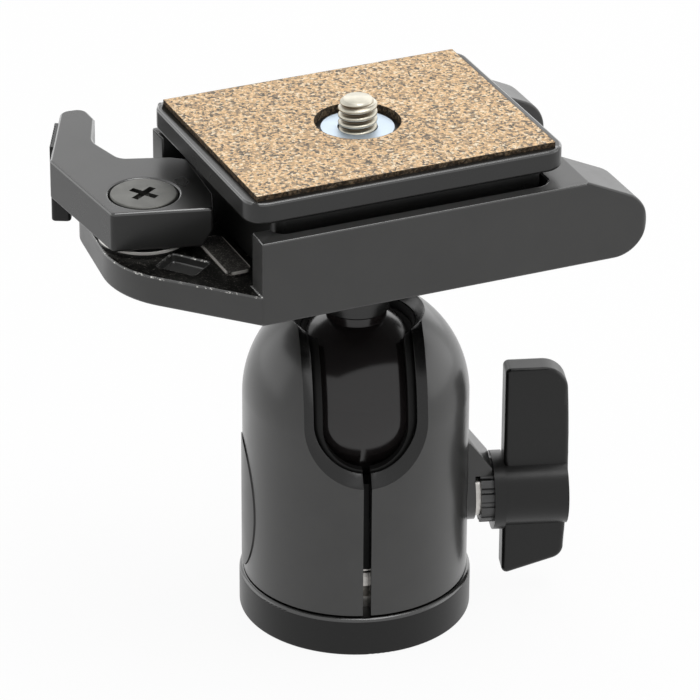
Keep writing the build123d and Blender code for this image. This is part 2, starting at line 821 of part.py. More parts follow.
with BuildPart() as platform_screw:
    # cap screw through the platform's floor into the post
    with BuildSketch(Plane.XY.offset(head_seat)):
        Circle(platform_screw_head_radius)
    extrude(amount=platform_screw_head_height)
    with BuildSketch(Plane.XY.offset(head_seat)):
        Circle(platform_screw_radius)
    extrude(amount=-(head_seat - post_top + platform_screw_length - play))
    with BuildSketch(Plane.XY.offset(head_seat + platform_screw_head_height)):
        RegularPolygon(platform_screw_socket, 6)
    extrude(amount=-platform_screw_socket_depth, mode=Mode.SUBTRACT)
pieces["platform_screw"] = platform_screw

# ---- platform -----------------------------------------------------------
slope = math.radians(nose_slope)
rail_rise = rail_top - platform_bottom
nose_length = nose_tip - nose_break
nose_radius = (rail_rise * math.cos(slope) - nose_length * math.sin(slope)) / (
    1 - math.sin(slope) + math.cos(slope)
)
nose_centre = (nose_tip - nose_radius, platform_bottom + nose_radius)
nose_end = (
    nose_centre[0] + nose_radius * math.sin(slope),
    nose_centre[1] + nose_radius * math.cos(slope),
)
plan_right = nose_tip + nose_corner / 4

with BuildPart() as platform:
    # side view: flat top, sloping nose, full-round tip
    with BuildSketch(head_side):
        with BuildLine():
            CenterArc(nose_centre, nose_radius, -90, 180 - nose_slope)
            Polyline(
                nose_end,
                (nose_break, rail_top),
                (deck_left - overcut, rail_top),
                (deck_left - overcut, platform_bottom),
                (nose_centre[0], platform_bottom),
            )
        make_face()
    extrude(amount=platform_half_width, both=True)
    # plan view: cut-off front corner, rounded left end, gap between the nose's ears
    with BuildSketch(head.offset(platform_bottom)):
        with BuildLine():
            Polyline(
                (plan_right, -platform_half_width),
                (rail_left, -platform_half_width),
                (deck_left, deck_left_front),
                (deck_left_back, platform_half_width),
                (plan_right, platform_half_width),
                close=True,
            )
        make_face()
        fillet(vertices().sort_by(Axis.X)[0], deck_front_corner)
        fillet(vertices().sort_by(Axis.X).group_by(Axis.Y)[-1].sort_by(Axis.X)[0], deck_back_corner)
        fillet(vertices().group_by(Axis.X)[-1], nose_corner)
        with Locations(((cutout_start + nose_tip + cutout_corner) / 2, (cutout_front + cutout_back) / 2)):
            RectangleRounded(
                nose_tip + cutout_corner - cutout_start,
                cutout_back - cutout_front,
                cutout_corner,
                mode=Mode.SUBTRACT,
            )
        with Locations((nose_tip, (cutout_front + cutout_back) / 2)):
            Rectangle(2 * cutout_corner, cutout_back - cutout_front, mode=Mode.SUBTRACT)
    extrude(amount=rail_rise, mode=Mode.INTERSECT)
    fillet(platform.edges().group_by(Axis.Z)[0], platform_edge_round)
    # deck and pocket floor, left open at the lever's end between two thick posts
    with BuildSketch(head.offset(deck_top)):
        with Locations(((deck_left + rail_left) / 2 - overcut, 0)):
            Rectangle(rail_left - deck_left + 2 * overcut, 2 * (platform_half_width + overcut))
        with Locations((rail_left + post_length / 2, 0)):
            Rectangle(post_length + 2 * overcut, 2 * passage_half_width)
        with Locations(((pocket_left + pocket_right) / 2, 0)):
            RectangleRounded(pocket_right - pocket_left, 2 * pocket_half_width, pocket_corner)
    extrude(amount=rail_rise, mode=Mode.SUBTRACT)
    # spigot hole and counterbore of the platform screw
    with BuildSketch(head.offset(platform_bottom)):
        Circle(stem_post_radius + play)
    extrude(amount=rail_rise, mode=Mode.SUBTRACT)
    with BuildSketch(head.offset(shelf_top)):
        Circle(platform_screw_head_radius + 2 * play)
    extrude(amount=rail_rise, mode=Mode.SUBTRACT)
    # blind holes of the pivot screw, the trip pin and the lever spring's tail
    with BuildSketch(head.offset(deck_top)):
        with Locations((pivot_u, pivot_v)):
            Circle(pivot_shank_radius + fit)
    extrude(amount=-pivot_thread_depth, mode=Mode.SUBTRACT)
    with BuildSketch(head.offset(deck_top)):
        with Locations((trip_u, trip_v)):
            Circle(trip_radius + play)
    extrude(amount=-trip_bore_depth, mode=Mode.SUBTRACT)
    # oblong well in the deck beside the pivot
    with BuildSketch(head.offset(deck_top)):
        with Locations(Location((pivot_u + well_offset[0], pivot_v + well_offset[1], 0), (0, 0, well_turn))):
            RectangleRounded(well_length, well_width, well_depth / 3)
    extrude(amount=-well_depth, mode=Mode.SUBTRACT)
pieces["platform"] = platform

with BuildPart() as pawl_plate:
    # steel wear strip beside the jaw
    with BuildSketch(head.offset(deck_top)):
        with Locations((pawl_left + pawl_width / 2, pawl_front + pawl_length / 2)):
            RectangleRounded(pawl_width, pawl_length, pawl_corner)
    extrude(amount=pawl_thickness)
pieces["pawl_plate"] = pawl_plate

with BuildPart() as pivot_washer:
    with BuildSketch(head.offset(deck_top)):
        with Locations((pivot_u, pivot_v)):
            Circle(pivot_washer_radius)
            Circle(pivot_shank_radius + fit, mode=Mode.SUBTRACT)
    extrude(amount=pivot_washer_thickness)
pieces["pivot_washer"] = pivot_washer

with BuildPart() as pivot_bush:
    with BuildSketch(head.offset(deck_top + pivot_washer_thickness)):
        with Locations((pivot_u, pivot_v)):
            Circle(pivot_bush_radius)
            Circle(pivot_shank_radius + fit, mode=Mode.SUBTRACT)
    extrude(amount=pivot_floor + face_gap - deck_top - pivot_washer_thickness)
pieces["pivot_bush"] = pivot_bush

with BuildPart() as pivot_screw:
    # flat head let into the lever, with a cross recess
    with BuildSketch(head.offset(pivot_floor + face_gap)):
        with Locations((pivot_u, pivot_v)):
            Circle(pivot_head_radius)
    extrude(amount=pivot_head_height)
    fillet(pivot_screw.edges().sort_by(Axis.Z)[-1], pivot_head_height / 5)
    with BuildSketch(head.offset(pivot_floor + face_gap)):
        with Locations((pivot_u, pivot_v)):
            Circle(pivot_shank_radius)
    extrude(amount=-(pivot_floor - deck_top + pivot_thread_depth - play))
    with BuildSketch(head.offset(pivot_floor + face_gap + pivot_head_height)):
        with Locations((pivot_u, pivot_v)):
            Rectangle(cross_length, cross_width, rotation=cross_turn)
            Rectangle(cross_width, cross_length, rotation=cross_turn)
    extrude(amount=-cross_depth, mode=Mode.SUBTRACT)
pieces["pivot_screw"] = pivot_screw

spring_low = deck_top + pivot_washer_thickness + spring_wire + face_gap
spring_place = head.from_local_coords((pivot_u, pivot_v, spring_low))

with BuildPart() as torsion_spring:
    # coil round the pivot bush, in the lever's underside
    with BuildLine():
        coil = Helix(
            pitch=spring_pitch,
            height=spring_pitch * spring_turns,
            radius=spring_radius,
            center=spring_place,
        )
    with BuildSketch(Plane(origin=coil @ 0, z_dir=coil % 0)):
        Circle(spring_wire)
    sweep(path=coil, is_frenet=True)
pieces["torsion_spring"] = torsion_spring

# ---- lever --------------------------------------------------------------
def from_pivot(offset):
    """A point of the lever's plan in head coordinates, from its place beside the pivot."""
    return (pivot_u + offset[0], pivot_v + offset[1])


jaw_middle = from_pivot(jaw_middle_place)
jaw_tip = from_pivot(jaw_tip_place)
elbow = from_pivot(elbow_place)
tip_outer = from_pivot(tip_outer_place)
spring_pocket_radius = spring_radius + spring_wire + 3 * play

with BuildPart() as lever:
    with BuildSketch(head.offset(lever_bottom)):
        with BuildLine():
            Polyline(
                from_pivot(jaw_front_place),
                from_pivot(heel_place),
                elbow,
                tip_outer,
                from_pivot(tip_inner_place),
                from_pivot(finger_inner_place),
                from_pivot(finger_root_place),
                from_pivot(crook_place),
                from_pivot(jaw_step_place),
                jaw_tip,
                jaw_middle,
                close=True,
            )
        make_face()
        for place, radius in (
            (heel_place, heel_round),
            (elbow_place, heel_round),
            (tip_outer_place, tip_round),
            (tip_inner_place, tip_round),
            (finger_root_place, root_round),
            (crook_place, crook_round),
        ):
            fillet(vertices().sort_by_distance(from_pivot(place))[0], radius)
    extrude(amount=lever_top - lever_bottom)
    fillet(lever.edges().group_by(Axis.Z)[-1], lever_edge)
    # bush hole, sunk seat of the screw head and pocket of the spring
    with BuildSketch(head.offset(lever_bottom)):
        with Locations((pivot_u, pivot_v)):
            Circle(pivot_bush_radius + play)
    extrude(amount=lever_top, mode=Mode.SUBTRACT)
    with BuildSketch(head.offset(pivot_floor - face_gap)):
        with Locations((pivot_u, pivot_v)):
            Circle(pivot_head_radius + 2 * play)
    extrude(amount=lever_top, mode=Mode.SUBTRACT)
    with BuildSketch(head.offset(lever_bottom)):
        with Locations((pivot_u, pivot_v)):
            Circle(spring_pocket_radius)
    extrude(amount=spring_pocket_height, mode=Mode.SUBTRACT)
    # slanting undercut of the jaw
    jaw_line = Vector(jaw_tip[0] - jaw_middle[0], jaw_tip[1] - jaw_middle[1], 0).normalized()
    jaw_plane = Plane(
        origin=head.from_local_coords((jaw_middle[0], jaw_middle[1], lever_bottom)),
        x_dir=head.x_dir * jaw_line.Y - head.y_dir * jaw_line.X,
        z_dir=-(head.x_dir * jaw_line.X + head.y_dir * jaw_line.Y),
    )
    with BuildSketch(jaw_plane):
        with BuildLine():
            Polyline(
                (-jaw_undercut, 0),
                (0, lever_top - lever_bottom - jaw_lip),
                (jaw_undercut, lever_top - lever_bottom - jaw_lip),
                (jaw_undercut, 0),
                close=True,
            )
        make_face()
    extrude(amount=platform_half_width, both=True, mode=Mode.SUBTRACT)
pieces["lever"] = lever

finger_angle = math.atan2(tip_outer[1] - elbow[1], tip_outer[0] - elbow[0])
finger_plane = Plane(
    origin=head.from_local_coords((elbow[0], elbow[1], lever_bottom)),
    x_dir=head.x_dir * math.cos(finger_angle) + head.y_dir * math.sin(finger_angle),
    z_dir=(0, 0, 1),
)
pad_top = (lever_top - lever_bottom + pad_height) / 2
pad_inside = fit
pad_outside = pad_inside + pad_thickness
pad_end = pad_start + pad_length

with BuildPart() as thumb_pad:
    # ribbed plastic pad on the finger's outer face
    with BuildSketch(finger_plane.offset(-pad_strip_thickness)):
        with Locations((pad_start + pad_length / 2, pad_inside + pad_thickness / 2)):
            Rectangle(pad_length, pad_thickness)
        with Locations((pad_start + pad_length / 2, pad_outside)):
            with GridLocations(pad_grip / pad_rib_count, 0, pad_rib_count, 1):
                Circle(pad_rib_depth, mode=Mode.SUBTRACT)
    extrude(amount=pad_strip_thickness + pad_top)
    # strip under the finger that carries it
    with BuildSketch(finger_plane.offset(-pad_strip_thickness)):
        with Locations(((pad_block_start + pad_end) / 2, pad_inside - pad_strip_width / 2)):
            Rectangle(pad_end - pad_block_start - 2 * pad_block_corner, pad_strip_width)
    extrude(amount=pad_strip_thickness - face_gap)
    # square block under the elbow
    with BuildSketch(finger_plane.offset(-pad_block_drop)):
        with Locations((pad_block_start + pad_block_length / 2, pad_inside - pad_block_width / 2)):
            RectangleRounded(pad_block_length, pad_block_width, pad_block_corner)
    extrude(amount=pad_block_drop - face_gap)
    fillet(thumb_pad.edges().group_by(Axis.Z)[0], pad_block_corner / 2)
pieces["thumb_pad"] = thumb_pad

# ---- quick-release plate --------------------------------------------------
foot_length = foot_right - foot_left
foot_middle_u = (foot_right + foot_left) / 2

with BuildPart() as qr_plate:
    with BuildSketch(head.offset(plate_rim_bottom)):
        RectangleRounded(2 * plate_half_length, 2 * plate_half_width, plate_corner)
    extrude(amount=plate_top - plate_rim_bottom)
    fillet(qr_plate.edges().group_by(Axis.Z)[0], plate_rim_round)
    # tray of the cork pad
    with BuildSketch(head.offset(cork_bottom)):
        Rectangle(2 * (cork_half_length + fit), 2 * (cork_half_width + fit))
    extrude(amount=plate_top, mode=Mode.SUBTRACT)
    # hole of the captive screw
    with BuildSketch(head.offset(plate_rim_bottom)):
        Circle(screw_neck_radius)
    extrude(amount=plate_top, mode=Mode.SUBTRACT)
pieces["qr_plate"] = qr_plate

with BuildPart() as plate_foot:
    # hollow foot under the rim, which the platform's pocket takes
    with BuildSketch(head.offset(foot_bottom)):
        with Locations((foot_middle_u, 0)):
            RectangleRounded(foot_length, 2 * foot_half_width, foot_corner)
            Rectangle(
                foot_length - 2 * foot_wall,
                2 * (foot_half_width - foot_wall),
                mode=Mode.SUBTRACT,
            )
        # middle boss and the ribs that join it to the foot's walls
        Circle(plate_boss_radius)
        with Locations((foot_middle_u, 0)):
            Rectangle(foot_length - foot_wall, plate_rib)
        Rectangle(plate_rib, 2 * foot_half_width - foot_wall)
    extrude(amount=plate_rim_bottom - foot_bottom)
    # room for the screw's head from below
    with BuildSketch(head.offset(screw_head_top + face_gap)):
        Circle(head_room)
    extrude(amount=-screw_head_top, mode=Mode.SUBTRACT)
    with BuildSketch(head.offset(foot_bottom)):
        Circle(screw_neck_radius)
    extrude(amount=plate_top, mode=Mode.SUBTRACT)
    # shallow seat over the trip pin
    with BuildSketch(head.offset(foot_bottom)):
        with Locations((trip_u, trip_v)):
            Circle(trip_radius + 2 * play)
    extrude(amount=trip_rise + play, mode=Mode.SUBTRACT)
pieces["plate_foot"] = plate_foot

with BuildPart() as cork_pad:
    with BuildSketch(head.offset(cork_bottom)):
        Rectangle(2 * cork_half_length, 2 * cork_half_width)
        Circle(cork_hole_radius, mode=Mode.SUBTRACT)
    extrude(amount=cork_thickness)
pieces["cork_pad"] = cork_pad

with BuildPart() as screw_washer:
    # zinc disc round the screw at the bottom of the cork's hole
    with BuildSketch(head.offset(cork_bottom)):
        Circle(disc_radius)
        Circle(screw_neck_radius, mode=Mode.SUBTRACT)
    extrude(amount=disc_thickness)
pieces["screw_washer"] = screw_washer

with BuildPart() as camera_screw:
    with BuildSketch(head.offset(screw_head_top - screw_head_height)):
        Circle(screw_head_radius)
    extrude(amount=screw_head_height)
    chamfer(camera_screw.edges().sort_by(Axis.Z)[0], coin_slot_depth / 3)
    with BuildSketch(head.offset(screw_head_top)):
        Circle(screw_radius - screw_relief)
    extrude(amount=thread_start - screw_head_top)
    with BuildSketch(head.offset(thread_start)):
        Circle(screw_radius)
    extrude(amount=screw_tip - thread_start)
    chamfer(camera_screw.edges().sort_by(Axis.Z)[-1], screw_tip_chamfer)
    with BuildSketch(head.offset(screw_head_top - screw_head_height)):
        Rectangle(2 * screw_head_radius, coin_slot_width)
    extrude(amount=coin_slot_depth, mode=Mode.SUBTRACT)
pieces["camera_screw"] = camera_screw

with BuildPart() as trip_pin:
    # sprung pin that feels the plate
    with BuildSketch(head.offset(deck_top + trip_rise)):
        with Locations((trip_u, trip_v)):
            Circle(trip_radius)
    extrude(amount=-trip_length)
    chamfer(trip_pin.edges().sort_by(Axis.Z)[-1], trip_radius / 3)
pieces["trip_pin"] = trip_pin

trip_spring_low = deck_top - trip_bore_depth + trip_spring_wire + fit
trip_spring_high = deck_top + trip_rise - trip_length - trip_spring_wire - fit

with BuildPart() as trip_spring:
    with BuildLine():
        small_coil = Helix(
            pitch=(trip_spring_high - trip_spring_low) / trip_spring_turns,
            height=trip_spring_high - trip_spring_low,
            radius=trip_radius - trip_spring_wire - fit,
            center=head.from_local_coords((trip_u, trip_v, trip_spring_low)),
        )
    with BuildSketch(Plane(origin=small_coil @ 0, z_dir=small_coil % 0)):
        Circle(trip_spring_wire)
    sweep(path=small_coil, is_frenet=True)
pieces["trip_spring"] = trip_spring

# ---- write the pieces ---------------------------------------------------
for name, piece in pieces.items():
    piece.part.label = name
    export_step(piece.part, f"parts/{name}.step")
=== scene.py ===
import json
import math

import bmesh
import bpy
from mathutils import Matrix, Vector

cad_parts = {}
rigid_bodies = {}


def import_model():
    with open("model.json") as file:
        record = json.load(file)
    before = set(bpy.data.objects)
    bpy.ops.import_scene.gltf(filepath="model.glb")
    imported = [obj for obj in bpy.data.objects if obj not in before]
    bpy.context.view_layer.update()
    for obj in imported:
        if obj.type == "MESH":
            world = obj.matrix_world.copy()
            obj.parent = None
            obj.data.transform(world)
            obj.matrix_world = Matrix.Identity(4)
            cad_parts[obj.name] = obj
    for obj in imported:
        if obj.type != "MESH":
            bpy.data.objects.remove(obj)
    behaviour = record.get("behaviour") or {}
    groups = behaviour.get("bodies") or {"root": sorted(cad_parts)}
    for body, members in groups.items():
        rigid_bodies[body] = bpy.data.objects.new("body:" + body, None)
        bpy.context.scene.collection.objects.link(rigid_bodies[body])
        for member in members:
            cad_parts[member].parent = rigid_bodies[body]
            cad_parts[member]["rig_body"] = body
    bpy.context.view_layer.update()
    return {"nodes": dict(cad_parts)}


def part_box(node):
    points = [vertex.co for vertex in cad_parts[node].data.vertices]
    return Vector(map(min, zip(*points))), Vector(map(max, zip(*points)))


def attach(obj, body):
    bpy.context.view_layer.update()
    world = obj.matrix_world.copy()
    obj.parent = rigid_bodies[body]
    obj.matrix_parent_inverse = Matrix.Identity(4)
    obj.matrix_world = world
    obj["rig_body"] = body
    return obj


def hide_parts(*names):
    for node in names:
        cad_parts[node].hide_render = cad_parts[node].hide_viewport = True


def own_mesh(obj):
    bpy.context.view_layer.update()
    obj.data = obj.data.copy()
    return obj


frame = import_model()

# ---- base ring -------------------------------------------------------------
# An aluminium ring, turned on a lathe and anodised black over a fine blast. It
# is screwed to the grooved spindle that the barrel turns on. A steel bush in
# its middle takes the tripod's screw, and a rubber ring lies under it.
MM = 0.001
nodes = frame["nodes"]


class Tone:
    """A value that a finish works with. Sums and products of tones add their Math nodes."""

    def __init__(self, finish, socket):
        self.finish = finish
        self.socket = socket

    def __add__(self, other):
        return self.finish.math("ADD", self, other)

    def __radd__(self, other):
        return self.finish.math("ADD", other, self)

    def __sub__(self, other):
        return self.finish.math("SUBTRACT", self, other)

    def __rsub__(self, other):
        return self.finish.math("SUBTRACT", other, self)

    def __mul__(self, other):
        return self.finish.math("MULTIPLY", self, other)

    def __rmul__(self, other):
        return self.finish.math("MULTIPLY", other, self)

    def __gt__(self, other):
        return self.finish.math("GREATER_THAN", self, other)

    def __lt__(self, other):
        return self.finish.math("LESS_THAN", self, other)


class Finish:
    """A material under one name, with the shader that its nodes lead to."""

    def __init__(self, name, **fixed):
        self.material = bpy.data.materials.new(name)
        self.material.use_nodes = True
        self.tree = self.material.node_tree
        self.shader = self.tree.nodes["Principled BSDF"]
        self.sets(**fixed)

    def node(self, kind, settings, inputs, output=0):
        """Adds a node, with its settings made first, and gives its output as a tone."""
        made = self.tree.nodes.new("ShaderNode" + kind)
        for name, value in settings.items():
            if name == "stops":
                while len(made.color_ramp.elements) < len(value):
                    made.color_ramp.elements.new(0.5)
                for stop, (place, colour) in zip(made.color_ramp.elements, value):
                    stop.position = place
                    stop.color = (*colour, 1)
            else:
                setattr(made, name, value)
        for name, value in inputs.items():
            self.lead(value, made.inputs[name])
        return Tone(self, made.outputs[output])

    def lead(self, value, socket):
        if isinstance(value, Tone):
            self.tree.links.new(value.socket, socket)
        else:
            socket.default_value = value

    def sets(self, **inputs):
        """Leads values to the shader's own sockets."""
        for socket in self.shader.inputs:
            word = socket.name.lower().replace(" ", "_")
            if word in inputs:
                self.lead(inputs[word], socket)
        return self

    def colour(self):
        """The colour that the shader has so far."""
        return Tone(self, self.shader.inputs["Base Color"].links[0].from_socket)

    def math(self, operation, first, second):
        return self.node("Math", {"operation": operation}, {0: first, 1: second})

    def place(self):
        """Where a point of the piece is, in the frame of the whole head."""
        return self.node("TexCoord", {}, {}, "Object")

    def height(self):
        """How high a point of the piece is above the floor."""
        return self.node("SeparateXYZ", {}, {"Vector": self.place()}, "Z")

    def grain(self, size, detail=2.0, roughness=0.5, stretch=(1, 1, 1)):
        """Noise whose lumps are about size across, in metres."""
        at = self.node("Mapping", {}, {"Vector": self.place(), "Scale": stretch})
        lumps = {"Scale": 1 / size, "Detail": detail, "Roughness": roughness}
        return self.node("TexNoise", {}, {"Vector": at, **lumps})

    def between(self, value, low, high, start=0.0, end=1.0):
        """value's stretch from low to high, as start to end."""
        stretch = {"From Min": low, "From Max": high, "To Min": start, "To Max": end}
        return self.node("MapRange", {}, {"Value": value, **stretch})

    def blend(self, share, first, second):
        """A mix of two colours, with that share of the second."""
        return self.node("Mix", {"data_type": "RGBA"}, {0: share, 6: first, 7: second}, 2)

    def bumps(self, height, depth):
        """The surface's normal over a relief of that depth, in metres."""
        return self.node("Bump", {}, {"Height": height, "Distance": depth, "Strength": 1.0})


def wears(names, finish):
    """Gives CAD pieces their finish."""
    for name in names:
        nodes[name].data.materials.clear()
        nodes[name].data.materials.append(finish.material)


def placed(name, shape, node, finishes, smooth=45):
    """Makes a piece of a bmesh, in place of a CAD node, on its body and in its slot."""
    mesh = bpy.data.meshes.new(name)
    shape.to_mesh(mesh)
    shape.free()
    for finish in finishes:
        mesh.materials.append(finish.material)
    mesh.shade_smooth()
    mesh.set_sharp_from_angle(angle=math.radians(smooth))
    piece = bpy.data.objects.new(name, mesh)
    bpy.context.scene.collection.objects.link(piece)
    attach(piece, nodes[node]["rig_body"])
    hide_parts(node)
    return piece


def reach(edge, face):
    """How far a face goes from one of its edges."""
    start = edge.verts[0].co
    along = (edge.verts[1].co - start).normalized()
    return max((along.cross(corner.co - start)).length for corner in face.verts)


weld = 0.002 * MM


def eased(name, node, width, finishes, sharp_from=28, steps=3, split=True, weighted=True):
    """A CAD piece with its sharp edges rounded over width, as blasting and coating leave them.

    The rounded faces get the last finish. split parts faces at their inward corners first, and
    weighted keeps the flat faces flat in the light.
    """
    shape = bmesh.new()
    shape.from_mesh(nodes[node].data)
    bmesh.ops.remove_doubles(shape, verts=shape.verts, dist=weld)
    level = math.radians(0.2)
    bmesh.ops.dissolve_limit(shape, angle_limit=level, verts=shape.verts[:], edges=shape.edges[:])
    if split:
        bmesh.ops.connect_verts_concave(shape, faces=shape.faces[:])
    limit = math.radians(sharp_from)
    sharp = [
        edge
        for edge in shape.edges
        if edge.calc_face_angle(0) > limit
        and min(reach(edge, face) for face in edge.link_faces) > 2 * width
    ]
    for face in shape.faces:
        face.material_index = 0
    bmesh.ops.bevel(
        shape,
        geom=sharp,
        offset=width,
        offset_type="OFFSET",
        segments=steps,
        profile=0.5,
        affect="EDGES",
        material=len(finishes) - 1,
    )
    piece = placed(name, shape, node, finishes)
    if weighted:
        flats = piece.modifiers.new("flats_stay_flat", "WEIGHTED_NORMAL")
        flats.keep_sharp = True
        flats.weight = 60
    return piece


def black_finish(
    name, grey, gloss, grain_size, grain_depth, ior_level=0.5, tint=(1, 1, 0.97), coat=0.0
):
    """Anodised or painted black: an even grey, a fine blasted grain and faint dust."""
    patch_size = 9 * MM
    patch_range = (0.3, 0.7)
    speck_size = 0.45 * MM
    speck_range = (0.66, 0.78)
    dust_colour = (0.5, 0.48, 0.44, 1)
    finish = Finish(
        name, specular_ior_level=ior_level, coat_weight=coat, coat_roughness=0.6 * gloss
    )
    patches = finish.grain(patch_size, detail=3)
    dust = finish.between(finish.grain(speck_size, detail=4, roughness=0.7), *speck_range)
    shade = finish.between(patches, *patch_range)
    dark = tuple(grey * 0.9 * c for c in tint) + (1,)
    light = tuple(grey * 1.1 * c for c in tint) + (1,)
    colour = finish.blend(shade, dark, light)
    colour = finish.blend(dust * 0.06, colour, dust_colour)
    rough = finish.between(patches, *patch_range, gloss * 0.88, gloss * 1.12) + dust * 0.1
    relief = finish.bumps(finish.grain(grain_size, detail=2), grain_depth)
    return finish.sets(base_color=colour, roughness=rough, normal=relief)


def metal_finish(name, colour, gloss, lines, stretch=(1, 1, 1), darker=0.75):
    """Bare metal with fine turning or brushing marks, lines apart, and duller clouds."""
    cloud_size = 3 * MM
    finish = Finish(name, metallic=1.0)
    marks = finish.grain(lines, detail=3, roughness=0.6, stretch=stretch)
    clouds = finish.grain(cloud_size, detail=3)
    shade = finish.between(clouds, 0.35, 0.7)
    dull = tuple(c * darker for c in colour) + (1,)
    tone = finish.blend(shade, dull, (*colour, 1))
    rough = finish.between(marks, 0.3, 0.7, gloss * 0.75, gloss * 1.3)
    relief = finish.bumps(marks, lines * 0.06)
    return finish.sets(base_color=tone, roughness=rough, normal=relief)


ring_black = black_finish(
    "ring_black_anodised",
    grey=0.003,
    gloss=0.34,
    grain_size=0.12 * MM,
    grain_depth=0.004 * MM,
    ior_level=0.32,
)
foot_rubber = black_finish(
    "foot_rubber", grey=0.03, gloss=0.75, grain_size=0.3 * MM, grain_depth=0.02 * MM
)
turned_steel = metal_finish(
    "turned_steel", colour=(0.62, 0.60, 0.57), gloss=0.28, lines=0.05 * MM, stretch=(1, 1, 12)
)
blued_steel = metal_finish(
    "blackened_steel", colour=(0.10, 0.10, 0.10), gloss=0.38, lines=0.08 * MM
)
ring_highlight_edge = black_finish(
    "ring_rubbed_edge",
    grey=0.016,
    gloss=0.24,
    grain_size=0.12 * MM,
    grain_depth=0.002 * MM,
    ior_level=0.7,
    coat=0.6,
)
ring = eased("base_ring", "base_disc", width=0.3 * MM, finishes=[ring_black, ring_highlight_edge])
# The faces that lean up round the ring's top edge get a lighter grey and a glossier coat; the
# lighter grey is a painted highlight.
for face in ring.data.polygons:
    leans_up = 0.25 < face.normal.z < 0.95
    face.material_index = int(leans_up)
wears(["grip_ring"], foot_rubber)
wears(["thread_bush", "pan_bearing", "pan_pins"], turned_steel)
wears(["base_screws"], blued_steel)

# ---- barrel ----------------------------------------------------------------
# The barrel is turned from aluminium, milled with the drop notch and the slit,
# blasted and anodised black. It turns on a steel spindle, and inside it sit a
# black plastic liner, a cup under the ball and a disc spring.
barrel_black = black_finish(
    "barrel_black_anodised",
    grey=0.036,
    gloss=0.34,
    grain_size=0.10 * MM,
    grain_depth=0.003 * MM,
    ior_level=0.3,
    coat=0.5,
)
# The faces cut into the barrel are shinier and much darker than its outer skin; the darker grey
# is painted shade in the notch, the slit and the bore.
cut_shaded_black = black_finish(
    "barrel_cut_edge",
    grey=0.006,
    gloss=0.24,
    grain_size=0.25 * MM,
    grain_depth=0.006 * MM,
    ior_level=0.4,
)
liner_plastic = black_finish(
    "liner_black_plastic",
    grey=0.004,
    gloss=0.5,
    grain_size=0.5 * MM,
    grain_depth=0.004 * MM,
    ior_level=0.25,
)
badge_black = black_finish(
    "badge_black", grey=0.012, gloss=0.30, grain_size=0.2 * MM, grain_depth=0.003 * MM
)
nut_brass = metal_finish(
    "turned_brass", colour=(0.78, 0.58, 0.28), gloss=0.3, lines=0.06 * MM
)
shell = eased(
    "barrel_shell",
    "barrel",
    width=0.12 * MM,
    finishes=[barrel_black],
    sharp_from=24,
    weighted=False,
)
shell.data.materials.append(cut_shaded_black.material)

# Its outer face is a cylinder under a dome round the ball's centre. The corners
# that lie on it take its true normal, and what is cut deeper is left shinier and
# painted darker, as shade in the notch, the slit and the bore.
ball_centre = (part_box("ball")[0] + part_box("ball")[1]) / 2
shell_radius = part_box("barrel")[1].y
cut_depth = 0.06 * MM
skin = 0.03 * MM
shell_normals = [corner.vector.copy() for corner in shell.data.corner_normals]
for face in shell.data.polygons:
    middle = Vector((face.center.x, face.center.y, max(face.center.z - ball_centre.z, 0)))
    if middle.length < shell_radius - cut_depth:
        face.material_index = 1
    for loop in face.loop_indices:
        spot = shell.data.vertices[shell.data.loops[loop].vertex_index].co
        out = Vector((spot.x, spot.y, max(spot.z - ball_centre.z, 0)))
        on_skin = abs(out.length - shell_radius) < skin
        if on_skin and face.normal.dot(out.normalized()) > 0.6:
            shell_normals[loop] = out.normalized()
shell.data.normals_split_custom_set(shell_normals)
wears(["ball_liner", "ball_seat"], liner_plastic)
wears(["pan_spindle", "seat_spring"], turned_steel)
wears(["badge_plate"], badge_black)
wears(["clamp_nut"], nut_brass)

# ---- clamp knob ------------------------------------------------------------
# A glass-filled plastic wing is moulded over a brass insert and screwed on the
# steel stud. A blackened collar with serrated edge and a bright washer sit
# between it and the barrel's boss.
knob_plastic = black_finish(
    "knob_black_plastic",
    grey=0.006,
    gloss=0.32,
    grain_size=0.15 * MM,
    grain_depth=0.003 * MM,
    ior_level=0.35,
)
wears(["knob_wing"], knob_plastic)
wears(["knob_insert"], nut_brass)
wears(["knob_collar"], blued_steel)
wears(["clamp_stud", "thrust_washer"], turned_steel)

# ---- ball and neck -----------------------------------------------------------
# The ball is aluminium, polished and anodised black. Its steel neck is polished
# black too, and carries a black collar whose lower edge is turned bright. A
# blackened screw with a lock washer holds the platform on it.
ball_gloss = black_finish(
    "ball_black_gloss",
    grey=0.010,
    gloss=0.16,
    grain_size=0.6 * MM,
    grain_depth=0.001 * MM,
    tint=(1.15, 0.95, 0.95),
)
wears(["ball", "neck"], ball_gloss)
wears(["platform_screw"], blued_steel)
wears(["lock_washer"], turned_steel)

collar_black = black_finish(
    "collar_black", grey=0.012, gloss=0.25, grain_size=0.1 * MM, grain_depth=0.002 * MM
)
bright_edge = 0.32 * MM
collar_black.sets(metallic=collar_black.height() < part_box("neck_collar")[0].z + bright_edge)
wears(["neck_collar"], collar_black)

